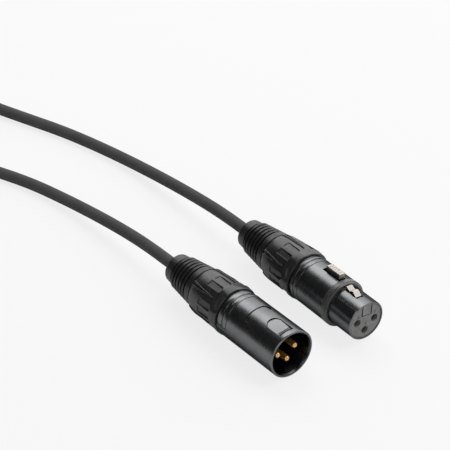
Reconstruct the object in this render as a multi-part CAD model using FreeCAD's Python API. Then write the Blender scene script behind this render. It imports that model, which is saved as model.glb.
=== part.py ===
import FreeCAD, Part
import math
import os

# A microphone cable with a three-contact plug at each end, lying on a flat surface.
# Sizes are in millimetres. Each plug is drawn in its own frame: its axis is X, the mouth is at
# x = 0 and faces +X, and the key and latch side is +Z. Distances "behind" run towards the cable.
# The whole part stands on z = 0, with the middle of the two plugs above the origin.

Vector = FreeCAD.Vector

# Clearances
seat_gap = 0.05            # radial gap of a piece that is seated in its own plug
running_gap = 0.1          # radial gap of a piece that turns or slides
latch_side_gap = 0.3       # beside the latch lever
latch_end_gap = 0.5        # ahead of the thumb tab
pivot_seat_gap = 0.02      # round the latch pin in the insert
overshoot = 1.0            # how far a cutting shape reaches past what it cuts
end_round = 0.95           # of the half width, for the rounded end of a recess

# Cable
cable_radius = 2.3
cable_bore_gap = 0.3       # round the cable inside the ribbed tail
wire_radius = 0.6
wire_circle = 1.15         # where the conductors leave the jacket
wire_straight = 2.0        # straight part of a conductor at the jacket
wire_lead = 1.0            # straight part of a conductor behind its cup
bend_share = 0.45          # of the shorter run, taken up by each bend of a tube

# Contacts, the same circle on both plugs
contact_circle = 3.96
contact_angles = (0.0, 180.0, 270.0)
pin_radius = 1.18
pin_shank_radius = 1.45    # inside the insert
pin_tip_depth = 2.45       # pin tips behind the mouth
pin_tip_round = 0.8        # of the pin's radius
cup_radius = 1.45
cup_bore = 0.9
cup_length = 4.4
cup_bore_depth = 3.0
cup_mouth = 0.7            # of the bore's depth, cut open on the outer side
contact_flange = 1.75
contact_flange_length = 1.0
lug_thickness = 0.4
lug_margin = 0.9           # of the lug round its contact
lug_spring_length = 4.5

# Shell of the plug with pins
male_shell_radius = 9.5
male_rear_radius = 9.4
male_rim_fillet = 0.3
male_bore = 8.12
male_flare = 8.6
male_flare_depth = 0.9
male_bore_depth = 17.0
male_lip_radius = 6.7
male_lip_length = 0.8
male_step_places = (25.8, 28.3)
male_step_half_angle = 85.0
male_rings_end = 30.9
step_depth = 0.1
step_line_width = 0.35     # of the fine groove in front of each ring
step_line_depth = 0.25
neck_radius = 8.8          # between the last ring and the grip nut
male_grip_place = 31.6     # front edge of the grip nut behind the mouth
male_insert_face = 16.6
male_insert_rear = 25.0

# Latch window of the plug with pins
window_width = 6.0
window_front = 3.2
window_apex = 11.1
window_floor = 8.45
catch_front = 1.85

# Bare place for a label on the shell
label_place = 17.4
label_angle = 92.6
label_width = 3.4
label_length = 10.6
label_depth = 0.3

# Shell of the plug with sockets
sleeve_radius = 7.85
sleeve_bore = 7.15
sleeve_edge = 0.45
keyway_half_angle = 42.0
keyway_depth = 0.3
collar_place = 12.1
collar_length = 2.7
collar_radius = 9.28
collar_lip_radius = 8.9
collar_lip_length = 0.8
collar_step = 0.15
collar_fillet = 0.25
female_shell_radius = 9.2
female_rear_radius = 9.1
female_step_places = (28.7, 31.0)
female_rings_end = 32.8
female_grip_place = 33.6
female_insert_face = 0.25
female_insert_rear = 28.0
female_flange_place = 26.0
socket_face_radius = 1.5
socket_place = 2.2         # front of the socket contacts behind the face
socket_radius = 1.7
socket_flange = 2.04
socket_bore = 1.2
socket_depth = 15.0
key_block_width = 4.7
key_block_low = 2.4
key_block_high = 6.2
key_groove = 0.45
key_groove_depth = 0.8

# Latch of the plug with sockets
latch_half_width = 1.3
latch_low = 6.0            # underside of the lever above the axis
latch_strip = 0.75
pivot_place = 26.2
pivot_height = 5.7
pivot_radius = 0.45
pivot_barrel = 0.95
pivot_pin_half_length = 3.0
tab_rear = 22.6
tab_height = 11.5
tab_ribs = 6
tab_rib_depth = 0.35
tab_fillet = 0.3
tab_groove_share = 0.3     # of the rib pitch, on each side of a groove
barrel_drop = 0.1          # of the barrel's flat top below the lever's
shell_slot_rear = 24.3
hook_tip = 5.5
hook_rear = 11.1
hook_rear_height = 8.9
hook_dip_place = 8.9
hook_dip_height = 7.9
hook_crest_rear = 8.0
hook_crest_front = 7.3
hook_crest_height = 8.7
hook_tip_height = 7.3
hook_slot_front = 4.5
hook_slot_margin = 0.4
channel_front = 3.6
channel_floor = 4.2
spring_place = 19.0
spring_low = 2.3
spring_radius = 1.0
spring_wire = 0.18
spring_turns = 4
spring_pocket_gap = 0.25

# Rear spigot of both shells, which the grip nut screws on
spigot_radius = 8.1
spigot_margin = 1.5        # between its end and the end of the nut's bore
rear_bore = 7.45

# Grip nut, measured behind its front edge
nut_length = 17.0
nut_front_radius = 9.75
nut_widest_place = 2.7
nut_widest_radius = 10.0
nut_profile = ((9.5, 9.6), (6.5, 9.3), (3.5, 9.1), (1.2, 8.85))    # measured ahead of its rear edge
nut_rear_radius = 8.5
nut_front_fillet = 0.4
nut_band_radius = 9.55
nut_band_length = 1.5
nut_band_slope = 2.0
nut_band_foot = 8.85       # radius where the band runs out in the valleys
nut_wall_margin = 0.3      # between the clamp's ring and the end of the nut's bore
grip_sides = 5
grip_flat = 9.05           # from the axis to each flat valley
spear_front = 5.3
spear_width = 2.3
spear_groove_width = 0.85
spear_height = 0.35
spear_groove_depth = 0.5
spear_groove_start = 1.0   # behind the spear's point
wedge_point = 0.1          # width of a spear's point
wedge_depth = 2.0          # of a spear's foot below the nut's rear radius
finger_angle = 11.4        # either side of the middle of a raised pad
finger_width = 2.5
finger_front = 3.6
finger_rear = 11.0
finger_floor = 9.0

# Ribbed tail
tail_gap = 0.75            # open groove between nut and tail
tail_neck_radius = 7.2
tail_spigot_radius = 5.95
tail_spigot_length = 1.0
tail_front_radius = 8.2
tail_band_length = 2.4
tail_band_radius = 8.05
tail_grooves = 6
tail_groove_start = 0.65   # middle of the first groove behind the band
tail_groove_pitch = 1.9
tail_groove_width = 1.05
tail_groove_depth = 1.3
tail_groove_first_radius = 7.85
tail_groove_last_radius = 6.6
tail_rib_slope = 0.2
tail_collar_length = 4.6   # behind the middle of the last groove
tail_collar_radius = 6.1
tail_end_radius = 5.6
tail_end_fillet = 0.8
tail_front_bore = 4.3
tail_front_bore_length = 1.0
tail_cone_length = 3.4

# Clamp that grips the cable
chuck_front = 1.8          # behind the nut's front edge
chuck_wall = 1.05
chuck_rear_margin = 1.55   # ahead of the nut's rear edge
chuck_cone = 5.65
chuck_cavity = 7.8
chuck_grip = 4.3
chuck_end_radius = 4.3
chuck_slots = 4
chuck_slot_width = 1.0
chuck_slot_start = 1.0     # behind the end of the cavity's wide part
jacket_reach = 5.65        # of the jacket ahead of the gripping bore

# How the two plugs lie
pair_spacing = 34.0
face_lead = 1.6            # the socket face lies this much further forward
male_roll = 5.4
female_roll = -6.0
female_yaw = -1.0
male_spear_angle = 130.1
female_spear_angle = 152.0
axis_height = nut_widest_radius

# Coil of spare cable
coil_centre = (-239.0, -15.0)
coil_radius = 32.8
coil_layers = 4
coil_layer_turns = 2.398
coil_pitch = 5.2           # between turns that lie side by side
coil_layer_rise = 5.2
coil_start_angle = -80.0
coil_lead = 2 * cable_radius
coil_stop_turns = 0.5      # longest part of a turn between two stops of its path
climb_half = 0.25          # of a turn

# Free runs of cable, with points chosen by hand
male_route = ((-49.5, -17.0, 10.0), (-73.5, -16.7, 7.0), (-103.0, -17.2, 3.1), (-125.5, -21.3, 2.3),
              (-150.0, -32.6, 2.3))
female_route = ((-49.0, 17.85, 10.0), (-74.4, 18.1, 7.3), (-101.9, 18.5, 3.2), (-123.3, 16.2, 2.3),
                (-142.6, 11.3, 2.3), (-160.0, 4.2, 2.4), (-184.0, -0.5, 7.5), (-208.3, 8.1, 17.9))

# Worked out from the sizes above
chuck_end = nut_length - chuck_rear_margin
chuck_ring_end = chuck_end - chuck_cone
chuck_cavity_end = chuck_end - chuck_cavity
chuck_grip_start = chuck_end - chuck_grip
jacket_end = chuck_grip_start - jacket_reach
nut_wall_end = chuck_ring_end + nut_wall_margin
spigot_length = nut_wall_end - spigot_margin
tail_front = nut_length + tail_gap
tail_band_end = tail_front + tail_band_length
tail_groove_first = tail_band_end + tail_groove_start
tail_end = tail_groove_first + (tail_grooves - 1) * tail_groove_pitch + tail_collar_length
male_length = male_grip_place + tail_end
female_length = female_grip_place + tail_end
male_mouth_x = (male_length - face_lead) / 2
female_face_x = male_mouth_x + face_lead
keyway_radius = sleeve_radius - keyway_depth
lever_top = latch_low + latch_strip
collar_rear = collar_place + collar_length
tab_front = collar_rear + latch_end_gap
slot_half_width = latch_half_width + latch_side_gap
nut_bore = spigot_radius + running_gap
chuck_radius = rear_bore - running_gap
chuck_bore = cable_radius + running_gap
tail_bore = cable_radius + cable_bore_gap

parts = {}


def side_point(x, r, angle=270.0):
    """A point at a distance r from the axis, in the direction angle about it."""
    turn = math.radians(angle)
    return Vector(x, r * math.cos(turn), r * math.sin(turn))


def rounded_wire(corners, place):
    """A closed wire through corners (u, v) or (u, v, fillet radius), put in space by place(u, v)."""
    bends = []
    for number, corner in enumerate(corners):
        here = Vector(corner[0], corner[1], 0)
        before = Vector(corners[number - 1][0], corners[number - 1][1], 0)
        following = corners[(number + 1) % len(corners)]
        after = Vector(following[0], following[1], 0)
        if len(corner) == 2:
            bends.append((here, None, here))
            continue
        back = (before - here).normalize()
        ahead = (after - here).normalize()
        half = back.getAngle(ahead) / 2
        reach = corner[2] / math.tan(half)
        inward = (back + ahead).normalize()
        middle = here + inward * (corner[2] / math.sin(half) - corner[2])
        bends.append((here + back * reach, middle, here + ahead * reach))
    edges = []
    for number, (first, middle, last) in enumerate(bends):
        following = bends[(number + 1) % len(bends)][0]
        if middle is not None:
            arc = [place(point.x, point.y) for point in (first, middle, last)]
            edges.append(Part.Arc(*arc).toShape())
        if last.distanceToPoint(following) > 1e-6:
            edges.append(Part.makeLine(place(last.x, last.y), place(following.x, following.y)))
    return Part.Wire(edges)


def turned(corners, start=270.0, sweep=360.0):
    """A solid turned about the plug's axis from an outline of (x, r) corners."""
    wire = rounded_wire(corners, lambda x, r: side_point(x, r, start))
    return Part.Face(wire).revolve(Vector(0, 0, 0), Vector(1, 0, 0), sweep)


def ring(front, rear, inner, outer, start=270.0, sweep=360.0):
    """A plain ring, or part of one, between two distances behind the mouth."""
    return turned(((-front, inner), (-front, outer), (-rear, outer), (-rear, inner)), start, sweep)


def rod(front, rear, radius, offset=0.0, angle=0.0):
    """A round rod along the axis, or at a distance and direction from it."""
    turn = math.radians(angle)
    start = Vector(-rear, offset * math.cos(turn), offset * math.sin(turn))
    return Part.makeCylinder(radius, rear - front, start, Vector(1, 0, 0))


def block(front, rear, half_width, low, high):
    """A box between two distances behind the mouth, centred on the key side."""
    corner = Vector(-rear, -half_width, low)
    return Part.makeBox(rear - front, 2 * half_width, high - low, corner)


def about_axis(shape, angle):
    """A copy turned about the plug's axis."""
    copy = shape.copy()
    copy.rotate(Vector(0, 0, 0), Vector(1, 0, 0), angle)
    return copy


def around(shape, count, first=0.0):
    """Copies of a shape spread evenly round the axis."""
    return [about_axis(shape, first + number * 360.0 / count) for number in range(count)]


def behind(shape, distance):
    """A copy moved back along the axis."""
    copy = shape.copy()
    copy.translate(Vector(-distance, 0, 0))
    return copy


def one_solid(shape):
    """The shape's only solid, with split faces joined again."""
    clean = shape.removeSplitter()
    return clean.Solids[0] if len(clean.Solids) == 1 else clean


def tube(points, radius, name=""):
    """A tube of straight runs joined by arcs that touch both of their runs."""
    points = [Vector(*point) for point in points]
    runs = [points[i].distanceToPoint(points[i + 1]) for i in range(len(points) - 1)]
    edges = []
    radii = []
    start = points[0]
    for i in range(1, len(points) - 1):
        back = (points[i - 1] - points[i]).normalize()
        ahead = (points[i + 1] - points[i]).normalize()
        half = (math.pi - back.getAngle(ahead)) / 2
        reach = bend_share * min(runs[i - 1], runs[i])
        bend = reach / math.tan(half)
        inward = (back + ahead).normalize()
        first = points[i] + back * reach
        last = points[i] + ahead * reach
        middle = points[i] + inward * (bend / math.cos(half) - bend)
        edges.append(Part.makeLine(start, first))
        edges.append(Part.Arc(first, middle, last).toShape())
        radii.append(bend)
        start = last
    edges.append(Part.makeLine(start, points[-1]))
    path = Part.Wire(edges)
    direction = points[1] - points[0]
    circle = Part.Wire(Part.makeCircle(radius, points[0], direction))
    solid = path.makePipeShell([circle], True, False)
    if name:
        expected = math.pi * radius ** 2 * path.Length
        print(name, "length", round(path.Length, 1), "volume over section times length",
              round(solid.Volume / expected, 5))
        print(name, "radii", [round(value, 1) for value in radii])
    return solid


def two_arcs(start, start_way, end, end_way):
    """Two arcs that leave start and reach end in the given directions and touch each other."""
    gap = end - start
    ways = start_way + end_way
    turn = 2 * (1 - start_way.dot(end_way))
    along = gap.dot(ways)
    reach = (math.sqrt(along ** 2 + turn * gap.dot(gap)) - along) / turn
    joint = (start + end + (start_way - end_way) * reach) / 2

    def arc(point, way, other):
        chord = other - point
        side = (chord - way * chord.dot(way)).normalize()
        radius = chord.dot(chord) / (2 * chord.dot(side))
        centre = point + side * radius
        middle = centre + ((point + other) / 2 - centre).normalize() * radius
        return Part.Arc(point, middle, other).toShape(), radius

    first, first_radius = arc(start, start_way, joint)
    last, last_radius = arc(end, end_way * -1, joint)
    return [first, Part.Arc(joint, last.valueAt((last.FirstParameter + last.LastParameter) / 2),
                            end).toShape()], min(first_radius, last_radius)


def wound_tube(place, stops, radius, lead, name=""):
    """One unbroken tube along place(turn), on two arcs between each pair of stops."""
    step = 1e-5

    def way(turn):
        return (place(turn + step) - place(turn - step)).normalize()

    edges = []
    radii = []
    for first, last in zip(stops, stops[1:]):
        arcs, least = two_arcs(place(first), way(first), place(last), way(last))
        edges += arcs
        radii.append(least)
    start = place(stops[0]) - way(stops[0]) * lead
    end = place(stops[-1]) + way(stops[-1]) * lead
    if lead:
        edges.insert(0, Part.makeLine(start, place(stops[0])))
        edges.append(Part.makeLine(place(stops[-1]), end))
    path = Part.Wire(edges)
    circle = Part.Wire(Part.makeCircle(radius, start, way(stops[0])))
    solid = path.makePipeShell([circle], True, False)
    if name:
        expected = math.pi * radius ** 2 * path.Length
        print(name, "length", round(path.Length, 1), "volume over section times length",
              round(solid.Volume / expected, 5), "least bend radius", round(min(radii), 1))
        print(name, "least gap to itself", round(least_gap(edges, radius), 3))
    return solid, start, end


def least_gap(edges, radius):
    """The least distance between the tube's surface and itself, measured on points of its path."""
    spacing = radius / 2
    apart = 8 * radius
    points = []
    travelled = []
    total = 0.0
    for edge in edges:
        count = max(2, int(edge.Length / spacing))
        for number in range(count):
            share = number / count
            parameter = edge.FirstParameter + share * (edge.LastParameter - edge.FirstParameter)
            points.append(edge.valueAt(parameter))
            travelled.append(total + share * edge.Length)
        total += edge.Length
    least = 1e9
    for i, here in enumerate(points):
        for j in range(i + 1, len(points)):
            if travelled[j] - travelled[i] > apart:
                least = min(least, here.distanceToPoint(points[j]))
    return least - 2 * radius


# Pieces of both plugs

def contact_hole(angle, radius, front, rear):
    """What a contact needs cut away."""
    return rod(front, rear, radius, contact_circle, angle)


def solder_cup(front, angle):
    """Rear end of a contact: a cup with its outer side cut open."""
    cup = rod(front, front + cup_length, cup_radius, contact_circle, angle)
    rear = front + cup_length
    cup = cup.cut(rod(rear - cup_bore_depth, rear, cup_bore, contact_circle, angle))
    mouth = block(rear - cup_mouth * cup_bore_depth, rear, cup_radius + overshoot, contact_circle,
                  contact_circle + cup_radius + overshoot)
    return cup.cut(about_axis(mouth, angle - 90))


def pin_contact(angle, flange_place):
    """A turned pin with a round tip, a thicker shank, a flange behind the insert and a solder cup."""
    tip = -pin_tip_depth
    flange_end = flange_place + contact_flange_length
    outline = ((tip, 0), (tip, pin_radius, pin_tip_round * pin_radius), (-male_insert_face, pin_radius),
               (-male_insert_face, pin_shank_radius), (-flange_place, pin_shank_radius),
               (-flange_place, contact_flange), (-flange_end, contact_flange), (-flange_end, 0))
    pin = turned(outline)
    pin.translate(side_point(0, contact_circle, angle))
    return pin.fuse(solder_cup(flange_end, angle)).removeSplitter()


def socket_contact(angle):
    """A turned socket with its bore, a flange behind the insert and a solder cup."""
    flange_end = female_insert_rear + contact_flange_length
    outline = ((-socket_place, socket_bore), (-socket_place, socket_radius),
               (-female_insert_rear, socket_radius), (-female_insert_rear, socket_flange),
               (-flange_end, socket_flange), (-flange_end, 0),
               (-socket_place - socket_depth, 0), (-socket_place - socket_depth, socket_bore))
    socket = turned(outline)
    socket.translate(side_point(0, contact_circle, angle))
    return socket.fuse(solder_cup(flange_end, angle)).removeSplitter()


def ground_contact(face, shank, angle):
    """A bent strip from an eye round the first contact to the wall of the shell."""
    outer = rear_bore - seat_gap
    half = shank + lug_margin
    eye = rod(face, face + lug_thickness, half, contact_circle, 90.0)
    leg = block(face, face + lug_thickness, half, contact_circle, outer).fuse(eye)
    leg = leg.cut(rod(face, face + lug_thickness, shank + seat_gap, contact_circle, 90.0))
    rear = face + lug_spring_length
    spring = block(face, rear, half, 0, outer)
    spring = spring.cut(rod(face + lug_thickness, rear, outer - lug_thickness))
    spring = spring.common(rod(face, rear, outer).cut(rod(face, rear, outer - lug_thickness)))
    strip = leg.fuse(spring).common(rod(face, rear, outer))
    return about_axis(strip.removeSplitter(), angle - 90)


def chuck(grip_place):
    """The slotted clamp: a ring that slides in the shell, and fingers that grip the jacket."""
    inner = chuck_radius - chuck_wall
    outline = ((-chuck_front, inner), (-chuck_front, chuck_radius), (-chuck_ring_end, chuck_radius),
               (-chuck_end, chuck_end_radius), (-chuck_end, chuck_bore),
               (-chuck_grip_start, chuck_bore), (-chuck_cavity_end, inner))
    body = turned(outline)
    slot = block(chuck_cavity_end + chuck_slot_start, chuck_end + overshoot, chuck_slot_width / 2, 0,
                 chuck_radius + overshoot)
    body = body.cut(around(slot, chuck_slots, 45.0))
    return behind(body, grip_place)


def nut_skin(offset):
    """The nut's outer form with its five flats, grown or shrunk by an offset."""
    corners = [(0, 0), (0, nut_front_radius + offset, nut_front_fillet),
               (-nut_widest_place, nut_widest_radius + offset)]
    corners += [(ahead - nut_length, radius + offset) for ahead, radius in nut_profile]
    corners += [(-nut_length, nut_rear_radius + offset), (-nut_length, 0)]
    skin = turned(corners)
    beyond = block(-overshoot, nut_length + overshoot, nut_widest_radius, grip_flat + offset,
                   nut_widest_radius + 2 * overshoot)
    return skin.cut(around(beyond, grip_sides))


def wedge(width, front, rear):
    """An upright wedge in the key plane, sharp in front and wide behind."""
    low = nut_rear_radius - wedge_depth
    corners = ((-front, wedge_point / 2), (-rear, width / 2), (-rear, -width / 2),
               (-front, -wedge_point / 2))
    wire = rounded_wire(corners, lambda x, y: Vector(x, y, low))
    return Part.Face(wire).extrude(Vector(0, 0, nut_widest_radius + overshoot - low))


def finger_recess():
    """A shallow place with a round front end and a flat floor."""
    half = finger_width / 2
    corners = ((-finger_front, half, end_round * half), (-finger_front, -half, end_round * half),
               (-finger_rear, -half), (-finger_rear, half))
    wire = rounded_wire(corners, lambda x, y: Vector(x, y, finger_floor))
    return Part.Face(wire).extrude(Vector(0, 0, nut_widest_radius + overshoot - finger_floor))


def grip_nut(grip_place, spear_angle):
    """The moulded nut: five raised pads, flat valleys with a grooved spear, finger recesses."""
    body = nut_skin(0)
    band = turned(((0, 0), (0, nut_band_radius, nut_front_fillet), (-nut_band_length, nut_band_radius),
                   (-nut_band_length - nut_band_slope, nut_band_foot),
                   (-nut_band_length - nut_band_slope, 0)))
    spears = nut_skin(spear_height).common(wedge(spear_width, spear_front, nut_length))
    spear_grooves = wedge(spear_groove_width, spear_front + spear_groove_start,
                          nut_length + overshoot)
    spear_grooves = spear_grooves.cut(nut_skin(-spear_groove_depth))
    pad = 180.0 / grip_sides
    fingers = [about_axis(finger_recess(), pad + side * finger_angle) for side in (-1, 1)]
    body = body.fuse([band] + around(spears, grip_sides))
    body = body.cut(around(spear_grooves, grip_sides))
    for finger in fingers:
        body = body.cut(around(finger, grip_sides))
    cone_rear = chuck_end + running_gap
    counterbore = nut_length - tail_spigot_length
    inside = turned(((0, 0), (0, nut_bore), (-nut_wall_end, nut_bore),
                     (-nut_wall_end, chuck_radius + running_gap),
                     (-cone_rear, chuck_end_radius + running_gap),
                     (-counterbore, chuck_end_radius + running_gap),
                     (-counterbore, tail_spigot_radius + seat_gap),
                     (-nut_length, tail_spigot_radius + seat_gap), (-nut_length, 0)))
    body = body.cut(inside)
    body = about_axis(one_solid(body), spear_angle - 90.0)
    return behind(body, grip_place)


def ribbed_tail(grip_place):
    """The soft tail: a plain band, a row of ribs and a collar with a round end."""
    spigot = nut_length - tail_spigot_length
    corners = [(-spigot, tail_front_bore), (-spigot, tail_spigot_radius),
               (-nut_length, tail_spigot_radius), (-nut_length, tail_neck_radius),
               (-tail_front, tail_neck_radius), (-tail_front, tail_front_radius),
               (-tail_band_end, tail_band_radius)]
    half = tail_groove_width / 2
    drop = (tail_groove_first_radius - tail_groove_last_radius) / (tail_grooves - 1)
    for number in range(tail_grooves):
        middle = tail_groove_first + number * tail_groove_pitch
        top = tail_groove_first_radius - number * drop
        floor = top - tail_groove_depth
        corners += [(-middle + half, top + tail_rib_slope), (-middle + half, floor),
                    (-middle - half, floor), (-middle - half, top - tail_rib_slope)]
    corners = corners[:-1]
    corners += [(-middle - half, tail_collar_radius), (-tail_end, tail_end_radius, tail_end_fillet),
                (-tail_end, tail_bore), (-tail_front - tail_cone_length, tail_bore),
                (-tail_front - tail_front_bore_length, tail_front_bore)]
    return behind(turned(corners), grip_place)


def cable_end(grip_place):
    """The jacket from its cut end inside the clamp to the rear of the tail."""
    return rod(grip_place + jacket_end, grip_place + tail_end, cable_radius)


def wire(grip_place, cup_rear, angle):
    """One conductor from the cut end of the jacket to the bottom of its solder cup."""
    turn = math.radians(angle)
    cup_floor = cup_rear - cup_bore_depth
    jacket = grip_place + jacket_end
    route = ((-jacket, wire_circle), (-jacket + wire_straight, wire_circle),
             (-cup_rear - wire_lead, contact_circle), (-cup_floor, contact_circle))
    points = [(x, r * math.cos(turn), r * math.sin(turn)) for x, r in route]
    return tube(points, wire_radius)


def shell_rings(places, rear, radius, half_angle):
    """What is cut away to leave low rings at a shell's rear, each with a fine groove in front."""
    cuts = []
    for number, place in enumerate(places):
        low = radius - (number + 1) * step_depth
        for last, floor in ((rear, low), (place + step_line_width, low - step_line_depth)):
            cuts.append(ring(place, last, floor, radius + overshoot, 90 - half_angle, 2 * half_angle))
    return cuts


# The plug with pins

def male_shell():
    rear = male_grip_place
    outline = ((0, male_flare), (0, male_shell_radius, male_rim_fillet),
               (-male_step_places[0], male_rear_radius), (-male_rings_end, male_rear_radius),
               (-male_rings_end, neck_radius), (-rear, neck_radius),
               (-rear, spigot_radius), (-rear - spigot_length, spigot_radius),
               (-rear - spigot_length, rear_bore), (-male_bore_depth - male_lip_length, rear_bore),
               (-male_bore_depth - male_lip_length, male_lip_radius),
               (-male_bore_depth, male_lip_radius), (-male_bore_depth, male_bore),
               (-male_flare_depth, male_bore))
    shell = turned(outline).cut(shell_rings(male_step_places, male_rings_end, male_rear_radius,
                                            male_step_half_angle))
    half = window_width / 2
    corners = ((-window_front, half), (-window_front, -half), (-window_apex, -half, end_round * half),
               (-window_apex, half, end_round * half))
    window = Part.Face(rounded_wire(corners, lambda x, y: Vector(x, y, window_floor)))
    high = male_shell_radius + overshoot
    shell = shell.cut(window.extrude(Vector(0, 0, high - window_floor)))
    shell = shell.cut(block(catch_front, window_front, half, male_lip_radius, high))
    half_long = label_length / 2
    half_wide = label_width / 2
    fillet = end_round * half_wide
    corners = ((half_wide, half_long, fillet), (half_wide, -half_long, fillet),
               (-half_wide, -half_long, fillet), (-half_wide, half_long, fillet))
    label = Part.Face(rounded_wire(corners, lambda x, y: Vector(x - label_place, y, 0)))
    label = label.extrude(Vector(0, 0, high))
    label = about_axis(label, label_angle - 90.0)
    label = label.cut(rod(label_place - half_wide, label_place + half_wide,
                          male_rear_radius - label_depth))
    return one_solid(shell.cut(label))


def male_insert():
    seat = male_bore_depth + male_lip_length
    body = turned(((-male_insert_face, 0), (-male_insert_face, male_lip_radius - seat_gap),
                   (-seat, male_lip_radius - seat_gap), (-seat, rear_bore - seat_gap),
                   (-male_insert_rear, rear_bore - seat_gap), (-male_insert_rear, 0)))
    for angle in contact_angles:
        body = body.cut(contact_hole(angle, pin_shank_radius + seat_gap, male_insert_face,
                                     male_insert_rear))
    return body


# The plug with sockets

def female_shell():
    rear = female_grip_place
    outline = ((0, sleeve_bore), (0, sleeve_radius, sleeve_edge), (-collar_rear, sleeve_radius),
               (-collar_rear, female_shell_radius), (-female_step_places[0], female_rear_radius),
               (-female_rings_end, female_rear_radius), (-female_rings_end, neck_radius),
               (-rear, neck_radius), (-rear, spigot_radius),
               (-rear - spigot_length, spigot_radius), (-rear - spigot_length, rear_bore),
               (-female_flange_place, rear_bore), (-female_flange_place, sleeve_bore))
    shell = turned(outline).cut(shell_rings(female_step_places, female_rings_end, female_rear_radius,
                                            180.0))
    shell = shell.cut(ring(-overshoot, collar_place, keyway_radius, sleeve_radius + overshoot,
                           90 - keyway_half_angle, 2 * keyway_half_angle))
    shell = shell.cut(block(collar_rear, shell_slot_rear, slot_half_width, lever_top,
                            female_shell_radius + overshoot))
    shell = shell.cut(block(hook_slot_front, hook_rear + hook_slot_margin, slot_half_width,
                            lever_top, sleeve_radius + overshoot))
    return one_solid(shell)


def collar_ring():
    """The ring round the sleeve, with a low lip in front."""
    inner = sleeve_radius + seat_gap
    lip = collar_place + collar_lip_length
    return turned(((-collar_place, inner), (-collar_place, collar_lip_radius, collar_fillet),
                   (-lip, collar_radius - collar_step), (-lip, collar_radius),
                   (-collar_rear, collar_radius, collar_fillet), (-collar_rear, inner)))


def female_insert():
    body = turned(((-female_insert_face, 0), (-female_insert_face, sleeve_bore - seat_gap),
                   (-female_flange_place, sleeve_bore - seat_gap),
                   (-female_flange_place, rear_bore - seat_gap),
                   (-female_insert_rear, rear_bore - seat_gap), (-female_insert_rear, 0)))
    for angle in contact_angles:
        body = body.cut(contact_hole(angle, socket_face_radius, 0, socket_place))
        body = body.cut(contact_hole(angle, socket_radius + seat_gap, socket_place,
                                     female_insert_rear))
    body = body.cut(block(channel_front, female_insert_rear, slot_half_width, channel_floor,
                          rear_bore))
    pocket = spring_radius + spring_wire + spring_pocket_gap
    body = body.cut(Part.makeCylinder(pocket, rear_bore - spring_low,
                                      Vector(-spring_place, 0, spring_low)))
    body = body.cut(pivot_rod(pivot_radius + pivot_seat_gap, pivot_pin_half_length))
    groove_end = female_insert_face + key_groove_depth
    for side in (-1, 1):
        groove = block(female_insert_face, groove_end, key_groove / 2, key_block_low, key_block_high)
        groove.translate(Vector(0, side * (key_block_width - key_groove) / 2, 0))
        body = body.cut(groove)
    body = body.cut(block(female_insert_face, female_insert_face + key_groove_depth / 2,
                          key_block_width / 2, key_block_low - key_groove / 2, key_block_low))
    return one_solid(body)


def pivot_rod(radius, half_length):
    """A cross rod on the latch's turning axis."""
    start = Vector(-pivot_place, -half_length, pivot_height)
    return Part.makeCylinder(radius, 2 * half_length, start, Vector(0, 1, 0))


def latch_lever():
    """The lever: a barrel round its pin, a ribbed thumb tab and a sprung hook."""
    pitch = (tab_rear - tab_front) / tab_ribs
    half = tab_groove_share * pitch
    corners = [(-tab_front, lever_top), (-tab_front, tab_height, tab_fillet)]
    for number in range(tab_ribs - 1):
        groove = tab_front + (number + 1) * pitch
        corners += [(-groove + half, tab_height), (-groove, tab_height - tab_rib_depth, tab_fillet),
                    (-groove - half, tab_height)]
    corners += [(-tab_rear, tab_height, tab_fillet), (-tab_rear, lever_top),
                (-pivot_place, lever_top - barrel_drop),
                (-pivot_place, pivot_height), (-tab_rear, latch_low), (-hook_tip, latch_low),
                (-hook_tip, hook_tip_height), (-hook_crest_front, hook_crest_height),
                (-hook_crest_rear, hook_crest_height), (-hook_dip_place, hook_dip_height),
                (-hook_rear, hook_rear_height), (-hook_rear, lever_top)]
    wire = rounded_wire(corners, lambda x, z: Vector(x, -latch_half_width, z))
    lever = Part.Face(wire).extrude(Vector(0, 2 * latch_half_width, 0))
    lever = lever.fuse(pivot_rod(pivot_barrel, latch_half_width))
    lever = lever.cut(pivot_rod(pivot_radius + seat_gap, latch_half_width))
    return one_solid(lever)


def latch_spring():
    """The small wound spring between the pocket of the insert and the lever."""
    low = spring_low + spring_wire
    high = latch_low - spring_wire

    def place(turn):
        angle = 2 * math.pi * turn
        return Vector(spring_radius * math.cos(angle) - spring_place,
                      spring_radius * math.sin(angle), low + (high - low) * turn / spring_turns)

    stops = [number / 2 for number in range(2 * spring_turns + 1)]
    return wound_tube(place, stops, spring_wire, 0, "latch spring")[0]


# How the plugs and the cable lie

def stand_male(shape):
    copy = about_axis(shape, male_roll)
    copy.translate(Vector(male_mouth_x, -pair_spacing / 2, axis_height))
    return copy


def stand_female(shape):
    copy = about_axis(shape, female_roll)
    copy.rotate(Vector(0, 0, 0), Vector(0, 0, 1), female_yaw)
    behind_face = female_grip_place + nut_widest_place
    sideways = pair_spacing / 2 + behind_face * math.sin(math.radians(female_yaw))
    copy.translate(Vector(female_face_x, sideways, axis_height))
    return copy


def coil_place(turn):
    """Middle line of the coil: inwards and outwards by turns, and a climb at each change."""
    change = min(max(round(turn / coil_layer_turns), 1), coil_layers - 1)
    away = turn - change * coil_layer_turns
    if abs(away) < climb_half:
        steps = 2 * away ** 2 + climb_half / 2
        share = (away + climb_half) / (2 * climb_half)
        share = share * share * (3 - 2 * share)
    else:
        steps = abs(away)
        share = 0.0 if away < 0 else 1.0
    if change % 2 == 1:
        steps = coil_layer_turns - steps
    radius = coil_radius - coil_pitch * steps
    angle = math.radians(coil_start_angle - 360 * turn)
    return Vector(coil_centre[0] + radius * math.cos(angle), coil_centre[1] + radius * math.sin(angle),
                  cable_radius + (change - 1 + share) * coil_layer_rise)


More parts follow.
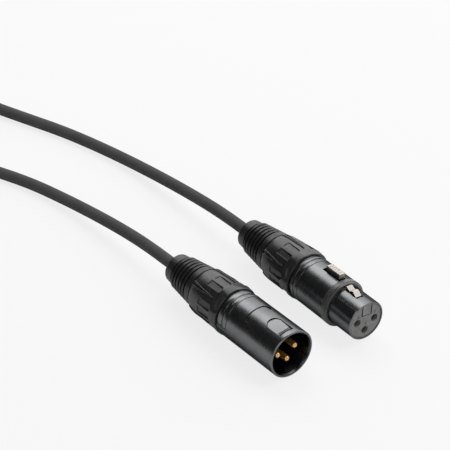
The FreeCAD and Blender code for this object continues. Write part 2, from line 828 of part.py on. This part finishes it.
def cable_coil():
    """The coil as one tube, with stops at both ends and in the middle of each climb."""
    marks = [0.0]
    for change in range(1, coil_layers):
        middle = change * coil_layer_turns
        marks += [middle - climb_half, middle, middle + climb_half]
    marks.append(coil_layers * coil_layer_turns)
    stops = [0.0]
    for first, last in zip(marks, marks[1:]):
        count = math.ceil((last - first) / coil_stop_turns)
        stops += [first + (last - first) * (number + 1) / count for number in range(count)]
    return wound_tube(coil_place, stops, cable_radius, coil_lead, "coil")


def add(name, shape, stand=None):
    parts[name] = stand(shape) if stand else shape


def build():
    male_flanges = (male_insert_rear + lug_thickness, male_insert_rear, male_insert_rear)
    female_cup_rear = female_insert_rear + contact_flange_length + cup_length
    add("male_shell", male_shell(), stand_male)
    add("male_insert", male_insert(), stand_male)
    add("female_shell", female_shell(), stand_female)
    add("female_collar_ring", collar_ring(), stand_female)
    add("female_insert", female_insert(), stand_female)
    for number, angle in enumerate(contact_angles):
        flange = male_flanges[number]
        add("male_pin_%d" % (number + 1), pin_contact(angle, flange), stand_male)
        add("female_socket_%d" % (number + 1), socket_contact(angle), stand_female)
        cup = flange + contact_flange_length + cup_length
        add("male_wire_%d" % (number + 1), wire(male_grip_place, cup, angle), stand_male)
        add("female_wire_%d" % (number + 1), wire(female_grip_place, female_cup_rear, angle),
            stand_female)
    add("male_ground_contact", ground_contact(male_insert_rear, pin_shank_radius, contact_angles[0]),
        stand_male)
    add("female_ground_contact", ground_contact(female_insert_rear, socket_flange, contact_angles[0]),
        stand_female)
    add("female_latch_lever", latch_lever(), stand_female)
    add("female_latch_pin", pivot_rod(pivot_radius, pivot_pin_half_length), stand_female)
    add("female_latch_spring", latch_spring(), stand_female)
    plugs = (("male", male_grip_place, male_spear_angle, stand_male),
             ("female", female_grip_place, female_spear_angle, stand_female))
    for name, place, spear_angle, stand in plugs:
        add(name + "_chuck", chuck(place), stand)
        add(name + "_grip_nut", grip_nut(place, spear_angle), stand)
        add(name + "_ribbed_tail", ribbed_tail(place), stand)
        add(name + "_cable_end", cable_end(place), stand)
    coil, coil_in, coil_out = cable_coil()
    male_exit = stand_male(Part.Vertex(-male_length, 0, 0)).Point
    female_exit = stand_female(Part.Vertex(-female_length, 0, 0)).Point
    add("cable_coil", coil)
    add("cable_male_run", tube((male_exit,) + male_route + (coil_in,), cable_radius, "male run"))
    add("cable_female_run", tube((female_exit,) + female_route + (coil_out,), cable_radius,
                                 "female run"))
    print("coil ends", [round(value, 2) for point in (coil_in, coil_out) for value in point],
          "plug exits", [round(value, 2) for point in (male_exit, female_exit) for value in point])


build()
os.makedirs("parts", exist_ok=True)
for name, shape in parts.items():
    solids = shape.Solids
    print(name, "solids", len(solids), "valid", shape.isValid(), "volume", round(shape.Volume, 2))
    shape.exportStep(os.path.join("parts", name + ".step"))
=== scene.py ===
import math

import bpy
from mathutils import Matrix, Vector


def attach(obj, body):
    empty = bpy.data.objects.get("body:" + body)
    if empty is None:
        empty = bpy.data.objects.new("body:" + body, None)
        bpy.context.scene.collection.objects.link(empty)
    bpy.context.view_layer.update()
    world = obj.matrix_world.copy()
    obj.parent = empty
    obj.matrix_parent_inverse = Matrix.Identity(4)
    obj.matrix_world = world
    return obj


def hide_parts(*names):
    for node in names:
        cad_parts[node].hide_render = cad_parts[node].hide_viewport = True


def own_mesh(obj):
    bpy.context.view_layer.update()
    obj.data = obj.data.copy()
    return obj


# A microphone cable with a three-contact plug at each end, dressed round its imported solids.
# Lengths are in metres unless a name says otherwise.

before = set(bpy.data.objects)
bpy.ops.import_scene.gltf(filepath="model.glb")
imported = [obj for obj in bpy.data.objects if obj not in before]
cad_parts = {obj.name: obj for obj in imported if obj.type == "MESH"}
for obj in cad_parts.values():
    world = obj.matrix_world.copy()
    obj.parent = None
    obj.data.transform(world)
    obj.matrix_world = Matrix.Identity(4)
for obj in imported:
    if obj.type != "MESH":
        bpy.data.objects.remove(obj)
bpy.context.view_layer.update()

MM = 0.001

# Cable, in millimetres. It keeps within about 1 mm of the solids of its
# coil and its male run, and within about 5 mm of that of its female run.
CABLE_RADIUS = 2.3
MALE_EXIT = (-34.05, -17.0, 10.0)
FEMALE_EXIT = (-34.44, 17.56, 10.0)
MALE_ROUTE = ((-49.3, -16.8, 10.0), (-73.5, -16.4, 7.1), (-102.0, -17.3, 3.0), (-124.6, -22.0, 2.3),
              (-149.5, -32.9, 2.3))
FEMALE_ROUTE = ((-49.0, 17.85, 10.0), (-74.4, 18.2, 7.3), (-101.5, 18.6, 3.1), (-122.7, 15.3, 2.3),
                (-142.2, 10.3, 2.3), (-160.3, 3.7, 2.3), (-180.5, -3.9, 2.7), (-197.0, -1.5, 9.8),
                (-209.2, 7.4, 17.5))
COIL_CENTRE = (-239.0, -15.0)
COIL_RADIUS = 32.8
COIL_LAYERS = 4
LAYER_TURNS = 2.398
COIL_PITCH = 5.2
COIL_RISE = 5.2
START_ANGLE = -80.0
CLIMB_HALF = 0.25
POINTS_PER_TURN = 14
CABLE_STEPS = 10
CABLE_BEVEL = 7

# Middle of each plug's mouth in millimetres, and how the plug lies, as yaw and roll in degrees
MALE_MOUTH = (32.45, -17.0, 10.0)
FEMALE_MOUTH = (34.05, 16.366, 10.0)
STANDS = {"male": (MALE_MOUTH, 0.0, 5.4), "female": (FEMALE_MOUTH, -1.0, -6.0)}

# Contact numbers on the socket face, in millimetres and degrees
SOCKET_FACE = 0.25
CONTACT_CIRCLE = 3.96
CONTACT_ANGLES = (0.0, 180.0, 270.0)
DIGIT_SIZE = 2.0
DIGIT_LIFT = 2.6
DIGIT_RISE = 0.04

# Crowned rings at the rear of the shells, in millimetres behind the mouth and degrees
RINGS = {
    "male_shell_ring_1": ("male", 26.3, 28.2, 9.28, 5.5, 174.5),
    "male_shell_ring_2": ("male", 28.8, 30.85, 9.18, 5.5, 174.5),
    "female_shell_ring_1": ("female", 29.2, 30.9, 8.98, 0.0, 360.0),
    "female_shell_ring_2": ("female", 31.5, 32.75, 8.88, 0.0, 360.0),
}
RING_CROWN = 0.14
RING_ROOT = 0.1
RING_STEPS = 10
RING_SIDES = 120

# Plain pad on the floor of the latch window, in millimetres behind the mouth
WINDOW_FLOOR = 8.46
PAD_FRONT = 4.05
PAD_REAR = 10.98
PAD_HALF_WIDTH = 2.88
PAD_FRONT_RISE = 0.06
PAD_REAR_RISE = 0.5
PAD_STEPS = 24

# Latch spring, which stands in a pocket under the lever, in millimetres
SPRING_PLACE = 19.0
SPRING_LOW = 2.3
SPRING_HIGH = 6.0
SPRING_RADIUS = 1.0
SPRING_WIRE = 0.18
SPRING_TURNS = 4
SPRING_POINTS = 12
SPRING_STEPS = 4
SPRING_BEVEL = 4

# Camera, from the photograph's view of the two plugs
PHOTO_SIZE = 450
FOCAL_PIXELS = 2880.0
PIXELS_PER_MM = 2.83
VIEW_AZIMUTH = 51.5
VIEW_ELEVATION = 35.4
MALE_MOUTH_PIXEL = (291.69, 354.32)
SENSOR_WIDTH = 36.0

# Packed triangles: points nearer than this are joined, and edges sharper than this in degrees stay
WELD_DISTANCE = 1e-6
CREASE_ANGLE = 30.0

# Shade inside the mouth of the plug with pins: the radius in millimetres where it ends, how much of
# the colour it leaves, and the share of the radius over which it fades
BORE_EDGE = 8.8
BORE_SHADE = 0.35
BORE_BLEND = 0.01

# Samples of the shader nodes that look round a point
CREVICE_SAMPLES = 8
BEVEL_SAMPLES = 4

# Floor, its glow, and how much of the glow each kind of ray sees in place of the floor
FLOOR_HALF = 12.0
FLOOR_GRAIN = 0.3
FLOOR_LEVELS = (0.86, 0.87)
FLOOR_ROUGHNESS = 0.9
FLOOR_WHITE = 0.94
FLOOR_SHARES = {"Is Camera Ray": 0.85, "Is Transmission Ray": 0.85, "Is Glossy Ray": 0.15}

# Level of the room, and each lamp's place, size and radiance
ROOM_LEVEL = 0.04
LAMPS = {
    "main_box": ((-0.1, 0.39, 0.92), (2.6, 0.61), 2.85),
    "back_box": ((-0.5, 0.875, 0.485), (2.0, 0.77), 2.1),
    "right_box": ((0.85, 0.75, 0.45), (0.7, 0.7), 1.3),
    "front_fill": ((0.85, -0.7, 0.75), (0.9, 0.9), 1.8),
}


def add_object(name, data):
    item = bpy.data.objects.new(name, data)
    bpy.context.scene.collection.objects.link(item)
    return item


def mesh_of(curve):
    """The mesh of a text or a curve."""
    holder = add_object(curve.name, curve)
    bpy.context.view_layer.update()
    mesh = bpy.data.meshes.new_from_object(holder)
    bpy.data.objects.remove(holder)
    return mesh


def make_camera():
    azimuth = math.radians(VIEW_AZIMUTH)
    elevation = math.radians(VIEW_ELEVATION)
    right = Vector((math.cos(azimuth), math.sin(azimuth), 0))
    back = Vector((math.sin(azimuth) * math.cos(elevation), -math.cos(azimuth) * math.cos(elevation),
                   math.sin(elevation)))
    up = back.cross(right)
    across = (MALE_MOUTH_PIXEL[0] - PHOTO_SIZE / 2) / PIXELS_PER_MM * MM
    down = (MALE_MOUTH_PIXEL[1] - PHOTO_SIZE / 2) / PIXELS_PER_MM * MM
    distance = FOCAL_PIXELS / PIXELS_PER_MM * MM
    place = Vector(MALE_MOUTH) * MM - right * across + up * down + back * distance
    data = bpy.data.cameras.new("camera")
    data.sensor_width = SENSOR_WIDTH
    data.lens = SENSOR_WIDTH * FOCAL_PIXELS / PHOTO_SIZE
    camera = add_object("camera", data)
    camera.matrix_world = Matrix((right, up, back)).transposed().to_4x4()
    camera.location = place
    bpy.context.scene.camera = camera


# The cable

def coil_point(turn, bulge):
    """A control point of the coil, which spirals in and out in turn from one layer to the next."""
    change = min(max(round(turn / LAYER_TURNS), 1), COIL_LAYERS - 1)
    away = turn - change * LAYER_TURNS
    if abs(away) < CLIMB_HALF:
        steps = 2 * away ** 2 + CLIMB_HALF / 2
        share = (away + CLIMB_HALF) / (2 * CLIMB_HALF)
        share = share * share * (3 - 2 * share)
    else:
        steps = abs(away)
        share = 0.0 if away < 0 else 1.0
    if change % 2 == 1:
        steps = LAYER_TURNS - steps
    radius = (COIL_RADIUS - COIL_PITCH * steps) * bulge
    angle = math.radians(START_ANGLE - 360 * turn)
    return (COIL_CENTRE[0] + radius * math.cos(angle), COIL_CENTRE[1] + radius * math.sin(angle),
            CABLE_RADIUS + (change - 1 + share) * COIL_RISE)


def make_cable():
    turns = COIL_LAYERS * LAYER_TURNS
    count = round(turns * POINTS_PER_TURN)
    step = turns / count
    bulge = 1 / math.cos(math.pi * step)
    coil = [coil_point((number + 0.5) * step, bulge) for number in range(count)]
    route = [MALE_EXIT, *MALE_ROUTE, *coil, *reversed(FEMALE_ROUTE), FEMALE_EXIT]
    data = bpy.data.curves.new("cable", "CURVE")
    data.dimensions = "3D"
    data.resolution_u = CABLE_STEPS
    data.bevel_depth = 1.0
    data.bevel_resolution = CABLE_BEVEL
    spline = data.splines.new("NURBS")
    spline.points.add(len(route) - 1)
    for point, place in zip(spline.points, route):
        point.co = (*(Vector(place) * MM), 1)
        point.radius = CABLE_RADIUS * MM
    spline.order_u = 3
    spline.use_endpoint_u = True
    cable = add_object("cable", data)
    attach(cable, "root")
    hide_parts("cable_male_run", "cable_coil", "cable_female_run")
    return cable


# Small pieces on the plugs

def stand_matrix(plug):
    """Turns a place in a plug, with its mouth at 0 and its axis along X, into one in the frame, in mm."""
    mouth, yaw, roll = STANDS[plug]
    return (Matrix.Translation(mouth) @ Matrix.Rotation(math.radians(yaw), 4, "Z")
            @ Matrix.Rotation(math.radians(roll), 4, "X"))


def make_digits():
    """Plain raised contact numbers over the holes of the socket face."""
    upright = Matrix(((0, 0, 1, 0), (1, 0, 0, 0), (0, 1, 0, 0), (0, 0, 0, 1)))
    digits = []
    for number, angle in enumerate(CONTACT_ANGLES, 1):
        text = bpy.data.curves.new("digit", "FONT")
        text.body = str(number)
        text.size = DIGIT_SIZE
        text.align_x = "CENTER"
        text.align_y = "CENTER"
        text.extrude = DIGIT_RISE
        mesh = mesh_of(text)
        around = math.radians(angle)
        place = (-SOCKET_FACE, CONTACT_CIRCLE * math.cos(around),
                 CONTACT_CIRCLE * math.sin(around) + DIGIT_LIFT)
        mesh.transform(Matrix.Scale(MM, 4) @ stand_matrix("female") @ Matrix.Translation(place) @ upright)
        digit = add_object("contact_number_%d" % number, mesh)
        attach(digit, "root")
        digits.append(digit)
    return digits


def make_piece(name, vertices, faces):
    """A piece that rides on the root body, from points in millimetres."""
    mesh = bpy.data.meshes.new(name)
    mesh.from_pydata([Vector(vertex) * MM for vertex in vertices], [], faces)
    mesh.validate()
    piece = add_object(name, mesh)
    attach(piece, "root")
    return piece


def make_ring(name):
    """A low crowned ring round a shell, or the stretch of one between two angles."""
    plug, front, rear, radius, start, stop = RINGS[name]
    half = (rear - front) / 2
    section = [(front, radius - RING_ROOT)]
    for step in range(RING_STEPS + 1):
        share = 2 * step / RING_STEPS - 1
        section.append((front + half * (1 + share), radius + RING_CROWN * (1 - share * share)))
    section.append((rear, radius - RING_ROOT))
    whole = stop - start == 360
    count = RING_SIDES if whole else RING_SIDES + 1
    stand = stand_matrix(plug)
    vertices = []
    for side in range(count):
        angle = math.radians(start + (stop - start) * side / RING_SIDES)
        for behind, reach in section:
            vertices.append(stand @ Vector((-behind, reach * math.cos(angle), reach * math.sin(angle))))
    size = len(section)
    faces = []
    for side in range(RING_SIDES):
        here = side * size
        there = (side + 1) % count * size
        for corner in range(size):
            beside = (corner + 1) % size
            faces.append((here + corner, there + corner, there + beside, here + beside))
    if not whole:
        faces.append(tuple(range(size)))
        faces.append(tuple(reversed(range(RING_SIDES * size, count * size))))
    piece = make_piece(name, vertices, faces)
    for polygon in piece.data.polygons:
        polygon.use_smooth = len(polygon.vertices) == 4
    return piece


def make_spring():
    """The latch spring, a wound wire that stands on its foot."""
    stand = stand_matrix("female")
    low = SPRING_LOW + SPRING_WIRE
    high = SPRING_HIGH - SPRING_WIRE
    data = bpy.data.curves.new("latch_spring", "CURVE")
    data.dimensions = "3D"
    data.bevel_depth = 1.0
    data.bevel_resolution = SPRING_BEVEL
    data.resolution_u = SPRING_STEPS
    data.use_fill_caps = True
    spline = data.splines.new("NURBS")
    count = SPRING_TURNS * SPRING_POINTS
    spline.points.add(count)
    for number, point in enumerate(spline.points):
        angle = 2 * math.pi * number / SPRING_POINTS
        place = Vector((SPRING_RADIUS * math.cos(angle) - SPRING_PLACE, SPRING_RADIUS * math.sin(angle),
                        low + (high - low) * number / count))
        point.co = (*(stand @ place * MM), 1)
        point.radius = SPRING_WIRE * MM
    spline.order_u = 3
    spline.use_endpoint_u = True
    spring = add_object("wound_latch_spring", mesh_of(data))
    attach(spring, "root")
    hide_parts("female_latch_spring")
    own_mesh(spring)
    return spring


def make_window_pad():
    """A plain pad with a round rear end, which slopes down to the catch slot."""
    outline = [(PAD_FRONT, PAD_HALF_WIDTH), (PAD_FRONT, -PAD_HALF_WIDTH)]
    middle = PAD_REAR - PAD_HALF_WIDTH
    for step in range(PAD_STEPS + 1):
        angle = math.pi * (step / PAD_STEPS - 0.5)
        outline.append((middle + PAD_HALF_WIDTH * math.cos(angle), PAD_HALF_WIDTH * math.sin(angle)))
    slope = (PAD_REAR_RISE - PAD_FRONT_RISE) / (PAD_REAR - PAD_FRONT)
    stand = stand_matrix("male")
    low = [stand @ Vector((-behind, side, WINDOW_FLOOR)) for behind, side in outline]
    high = [stand @ Vector((-behind, side, WINDOW_FLOOR + PAD_FRONT_RISE + slope * (behind - PAD_FRONT)))
            for behind, side in outline]
    size = len(outline)
    faces = [tuple(range(size)), tuple(reversed(range(size, 2 * size)))]
    for corner in range(size):
        beside = (corner + 1) % size
        faces.append((corner, size + corner, size + beside, beside))
    return make_piece("latch_window_pad", low + high, faces)


# Materials

class Finish:
    """A node material with helpers for the textures that it mixes."""

    def __init__(self, name):
        self.material = bpy.data.materials.new(name)
        self.material.use_nodes = True
        self.nodes = self.material.node_tree.nodes
        self.links = self.material.node_tree.links
        self.shader = self.nodes["Principled BSDF"]
        self.place = self.nodes.new("ShaderNodeTexCoord").outputs["Object"]
        self.heights = []

    def noise(self, grain, detail=3.0, roughness=0.55):
        """Noise whose blobs are about grain metres wide."""
        texture = self.nodes.new("ShaderNodeTexNoise")
        texture.inputs["Scale"].default_value = 1 / grain
        texture.inputs["Detail"].default_value = detail
        texture.inputs["Roughness"].default_value = roughness
        self.links.new(self.place, texture.inputs["Vector"])
        return texture.outputs["Fac"]

    def ramp(self, value, stops):
        """Colours or greys at places between 0 and 1."""
        ramp = self.nodes.new("ShaderNodeValToRGB")
        elements = ramp.color_ramp.elements
        while len(elements) < len(stops):
            elements.new(0.5)
        for element, (place, colour) in zip(elements, stops):
            element.position = place
            element.color = colour if isinstance(colour, tuple) else (colour, colour, colour, 1)
        self.links.new(value, ramp.inputs["Fac"])
        return ramp.outputs["Color"]

    def crevices(self, colour, reach, dark, start=0.3, end=0.85):
        """Painted shade: the colour, darkened where other surfaces come within reach metres."""
        shade = self.nodes.new("ShaderNodeAmbientOcclusion")
        shade.samples = CREVICE_SAMPLES
        shade.inputs["Distance"].default_value = reach
        return self.product(colour, self.ramp(shade.outputs["AO"], ((start, dark), (end, 1.0))))

    def product(self, first, second):
        mix = self.nodes.new("ShaderNodeMix")
        mix.data_type = "RGBA"
        mix.blend_type = "MULTIPLY"
        mix.inputs[0].default_value = 1.0
        self.links.new(first, mix.inputs[6])
        self.links.new(second, mix.inputs[7])
        return mix.outputs[2]

    def near_axis(self, centre, inside, outside, radius):
        """A level for what lies within a radius of a line along X, and another outside it."""
        gap = self.nodes.new("ShaderNodeVectorMath")
        gap.operation = "SUBTRACT"
        gap.inputs[1].default_value = centre
        self.links.new(self.place, gap.inputs[0])
        flat = self.nodes.new("ShaderNodeVectorMath")
        flat.operation = "MULTIPLY"
        flat.inputs[1].default_value = (0, 1, 1)
        self.links.new(gap.outputs[0], flat.inputs[0])
        length = self.nodes.new("ShaderNodeVectorMath")
        length.operation = "LENGTH"
        self.links.new(flat.outputs[0], length.inputs[0])
        share = self.nodes.new("ShaderNodeMapRange")
        share.inputs["From Min"].default_value = radius * (1 - BORE_BLEND)
        share.inputs["From Max"].default_value = radius * (1 + BORE_BLEND)
        share.inputs["To Min"].default_value = inside
        share.inputs["To Max"].default_value = outside
        self.links.new(length.outputs["Value"], share.inputs["Value"])
        return share.outputs[0]

    def feed(self, name, value):
        self.links.new(value, self.shader.inputs[name])

    def raised(self, height, distance):
        """Adds a bump from a height between 0 and 1, distance metres high."""
        self.heights.append((height, distance))

    def done(self, edge=0.0):
        """Joins the bumps, over edges rounded by a radius in metres."""
        normal = None
        if edge:
            bevel = self.nodes.new("ShaderNodeBevel")
            bevel.samples = BEVEL_SAMPLES
            bevel.inputs["Radius"].default_value = edge
            normal = bevel.outputs["Normal"]
        for height, distance in self.heights:
            bump = self.nodes.new("ShaderNodeBump")
            bump.inputs["Distance"].default_value = distance
            self.links.new(height, bump.inputs["Height"])
            if normal is not None:
                self.links.new(normal, bump.inputs["Normal"])
            normal = bump.outputs["Normal"]
        if normal is not None:
            self.links.new(normal, self.shader.inputs["Normal"])
        return self.material


def grey(level, warmth=0.0):
    """A grey of a linear level, a little warm above 0 and a little cool below."""
    return (level * (1 + warmth), level, level * (1 - warmth), 1)


def black_metal(name, level, gloss, rim, bore=None):
    """Dark plated metal: even, with faint cloudiness and fine polish marks, painted shade in its creases,
    and painted shade that darkens the bore.
    """
    finish = Finish(name)
    clouds = finish.noise(6 * MM)
    colour = finish.ramp(clouds, ((0.3, grey(level * 0.92, -0.03)), (0.7, grey(level * 1.08, -0.01))))
    # Painted shade: the colour is darkened in creases and where other surfaces are near.
    colour = finish.crevices(colour, 0.6 * MM, 0.15)
    # Painted shade: the colour is darkened inside the bore of the mouth, where shade falls.
    if bore:
        centre, radius = bore
        colour = finish.product(colour, finish.near_axis(centre, BORE_SHADE, 1.0, radius))
    finish.feed("Base Color", colour)
    finish.feed("Roughness", finish.ramp(finish.noise(3 * MM, 3), ((0.3, gloss * 0.93),
                                                                  (0.7, gloss * 1.08))))
    finish.shader.inputs["Metallic"].default_value = 1.0
    finish.shader.inputs["Specular Tint"].default_value = (rim, rim, rim, 1)
    finish.raised(finish.noise(0.5 * MM, 2), 0.0004 * MM)
    return finish.done(0.12 * MM)


def bright_metal(name, colour, gloss, rub, metal=1.0):
    """Plated metal with small spots of wear, and painted shade in its creases."""
    finish = Finish(name)
    worn = tuple(channel * rub for channel in colour[:3]) + (1,)
    spots = finish.noise(0.7 * MM, 4)
    plate = finish.ramp(spots, ((0.35, worn), (0.6, colour)))
    # Painted shade: the plate's colour is darkened in creases and where other surfaces are near.
    finish.feed("Base Color", finish.crevices(plate, 0.9 * MM, 0.1, 0.4, 0.9))
    finish.feed("Roughness", finish.ramp(finish.noise(0.3 * MM, 3), ((0.3, gloss * 0.8),
                                                                    (0.7, gloss * 1.4))))
    finish.shader.inputs["Metallic"].default_value = metal
    finish.raised(finish.noise(0.25 * MM, 2), 0.002 * MM)
    return finish.done(0.06 * MM)


def moulded(name, level, gloss, grain, depth, warmth=0.0, edge=0.1, shine=0.5,
            painted_shade=(1.2, 0.1, 0.3, 0.85)):
    """Moulded plastic or rubber: mottled, with a fine pitted skin and painted shade in its creases."""
    finish = Finish(name)
    finish.shader.inputs["Specular IOR Level"].default_value = shine
    mottle = finish.noise(2.2 * MM, 5, 0.65)
    colour = finish.ramp(mottle, ((0.3, grey(level * 0.72, warmth)), (0.52, grey(level, warmth)),
                                  (0.75, grey(level * 1.35, warmth))))
    # Painted shade: reach in mm, darkest level, and where the darkening starts and ends.
    reach, dark, start, end = painted_shade
    finish.feed("Base Color", finish.crevices(colour, reach * MM, dark, start, end))
    finish.feed("Roughness", finish.ramp(finish.noise(0.8 * MM, 4), ((0.3, gloss * 0.88),
                                                                    (0.7, min(1.0, gloss * 1.12)))))
    finish.raised(finish.noise(grain * MM, 3, 0.6), depth * MM)
    return finish.done(edge * MM)


def cable_jacket():
    """Matt black jacket with a faint mottle and a fine skin."""
    finish = Finish("jacket_black")
    finish.feed("Base Color", finish.ramp(finish.noise(5 * MM, 5, 0.6), ((0.3, grey(0.074)),
                                                                         (0.7, grey(0.088)))))
    finish.feed("Roughness", finish.ramp(finish.noise(1.2 * MM, 4), ((0.3, 0.75), (0.7, 0.85))))
    finish.shader.inputs["Specular IOR Level"].default_value = 0.02
    finish.raised(finish.noise(0.3 * MM, 3, 0.6), 0.012 * MM)
    return finish.done()


def make_materials():
    plate = {"level": 0.165, "gloss": 0.28, "rim": 0.25}
    return {
        "shell": black_metal("shell_black_plate", **plate),
        "male_shell": black_metal("shell_black_plate_with_bore", **plate,
                                  bore=(tuple(Vector(MALE_MOUTH) * MM), BORE_EDGE * MM)),
        "contact": bright_metal("contact_gold", (0.86, 0.52, 0.17, 1), gloss=0.26, rub=0.82,
                                metal=0.88),
        "latch": bright_metal("latch_nickel", (0.4, 0.375, 0.345, 1), gloss=0.28, rub=0.8),
        "spring": bright_metal("spring_steel", (0.62, 0.61, 0.6, 1), gloss=0.25, rub=0.85),
        # The last tuple of a moulded finish sets its painted shade in creases and holes.
        "insert_black": moulded("insert_black_plastic", 0.02, 0.5, grain=0.2, depth=0.004),
        "insert_grey": moulded("insert_grey_plastic", 0.15, 0.5, grain=0.18, depth=0.006,
                               warmth=0.01, edge=0.08, painted_shade=(1.6, 0.03, 0.5, 0.8)),
        "digit": moulded("contact_number_plastic", 0.03, 0.5, grain=0.2, depth=0.002),
        "collar": moulded("collar_black_plastic", 0.05, 0.36, grain=0.3, depth=0.003, edge=0.15,
                          shine=0.8),
        "chuck": moulded("chuck_plastic", 0.03, 0.5, grain=0.2, depth=0.004),
        "grip": moulded("grip_black_plastic", 0.018, 0.35, grain=0.16, depth=0.006, edge=0.35,
                        shine=0.55, painted_shade=(0.8, 0.6, 0.3, 0.85)),
        "tail": moulded("tail_rubber", 0.014, 0.36, grain=0.2, depth=0.006, edge=0.15, shine=0.38,
                        painted_shade=(0.8, 0.2, 0.3, 0.85)),
        "jacket": cable_jacket(),
        "wire_shield": bright_metal("wire_shield_copper", (0.7, 0.4, 0.25, 1), gloss=0.35, rub=0.8),
        "wire_red": moulded("wire_red", 0.1, 0.45, grain=0.2, depth=0.004),
        "wire_white": moulded("wire_white", 0.7, 0.45, grain=0.2, depth=0.004),
    }


def soften(node):
    """Smooth shading with sharp edges kept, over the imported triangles."""
    for polygon in node.data.polygons:
        polygon.use_smooth = True
    weld = node.modifiers.new("join", "WELD")
    weld.merge_threshold = WELD_DISTANCE
    split = node.modifiers.new("creases", "EDGE_SPLIT")
    split.split_angle = math.radians(CREASE_ANGLE)


# Stage and light

def make_floor():
    finish = Finish("floor_pale")
    dark, light = FLOOR_LEVELS
    finish.feed("Base Color", finish.ramp(finish.noise(FLOOR_GRAIN),
                                          ((0.3, grey(dark)), (0.7, grey(light)))))
    finish.shader.inputs["Roughness"].default_value = FLOOR_ROUGHNESS
    nodes = finish.nodes
    links = finish.links
    rays = nodes.new("ShaderNodeLightPath")
    shares = []
    for kind, amount in FLOOR_SHARES.items():
        share = nodes.new("ShaderNodeMath")
        share.operation = "MULTIPLY"
        share.inputs[1].default_value = amount
        links.new(rays.outputs[kind], share.inputs[0])
        shares.append(share.outputs[0])
    seen = shares[0]
    for share in shares[1:]:
        either = nodes.new("ShaderNodeMath")
        either.operation = "MAXIMUM"
        links.new(seen, either.inputs[0])
        links.new(share, either.inputs[1])
        seen = either.outputs[0]
    glow = nodes.new("ShaderNodeEmission")
    glow.inputs["Strength"].default_value = FLOOR_WHITE
    blend = nodes.new("ShaderNodeMixShader")
    links.new(seen, blend.inputs[0])
    links.new(finish.shader.outputs[0], blend.inputs[1])
    links.new(glow.outputs[0], blend.inputs[2])
    links.new(blend.outputs[0], nodes["Material Output"].inputs["Surface"])
    corners = [(x * FLOOR_HALF, y * FLOOR_HALF, 0) for x, y in ((-1, -1), (1, -1), (1, 1), (-1, 1))]
    mesh = bpy.data.meshes.new("floor")
    mesh.from_pydata(corners, [], [(0, 1, 2, 3)])
    mesh.materials.append(finish.done())
    floor = add_object("floor", mesh)


def make_world():
    """A dim room round the lamps."""
    world = bpy.data.worlds.new("studio")
    bpy.context.scene.world = world
    world.use_nodes = True
    world.node_tree.nodes["Background"].inputs["Color"].default_value = grey(ROOM_LEVEL)


def make_lamp(name, place, size, radiance):
    """A soft box that faces the object; its radiance is what a mirror would show of it."""
    data = bpy.data.lights.new(name, "AREA")
    data.shape = "RECTANGLE"
    data.size, data.size_y = size
    data.energy = radiance * math.pi * size[0] * size[1]
    lamp = add_object(name, data)
    lamp.location = place
    lamp.visible_camera = False
    lamp.rotation_mode = "QUATERNION"
    lamp.rotation_quaternion = (-Vector(place)).to_track_quat("-Z", "Y")


bpy.context.scene.view_settings.view_transform = "Standard"
make_camera()
cable = make_cable()
digits = make_digits()
bands = [make_ring(name) for name in RINGS]
bands.append(make_window_pad())
materials = make_materials()
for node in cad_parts.values():
    soften(node)
    for holder in node.material_slots:
        slot = holder.material.name
        holder.material = materials.get(node.name) or materials[slot]
cable.data.materials.append(materials["jacket"])
for digit in digits:
    digit.data.materials.append(materials["digit"])
make_spring().data.materials.append(materials["spring"])
for band in bands:
    band.data.materials.append(materials["shell"])
make_floor()
make_world()
for name, (place, size, radiance) in LAMPS.items():
    make_lamp(name, place, size, radiance)
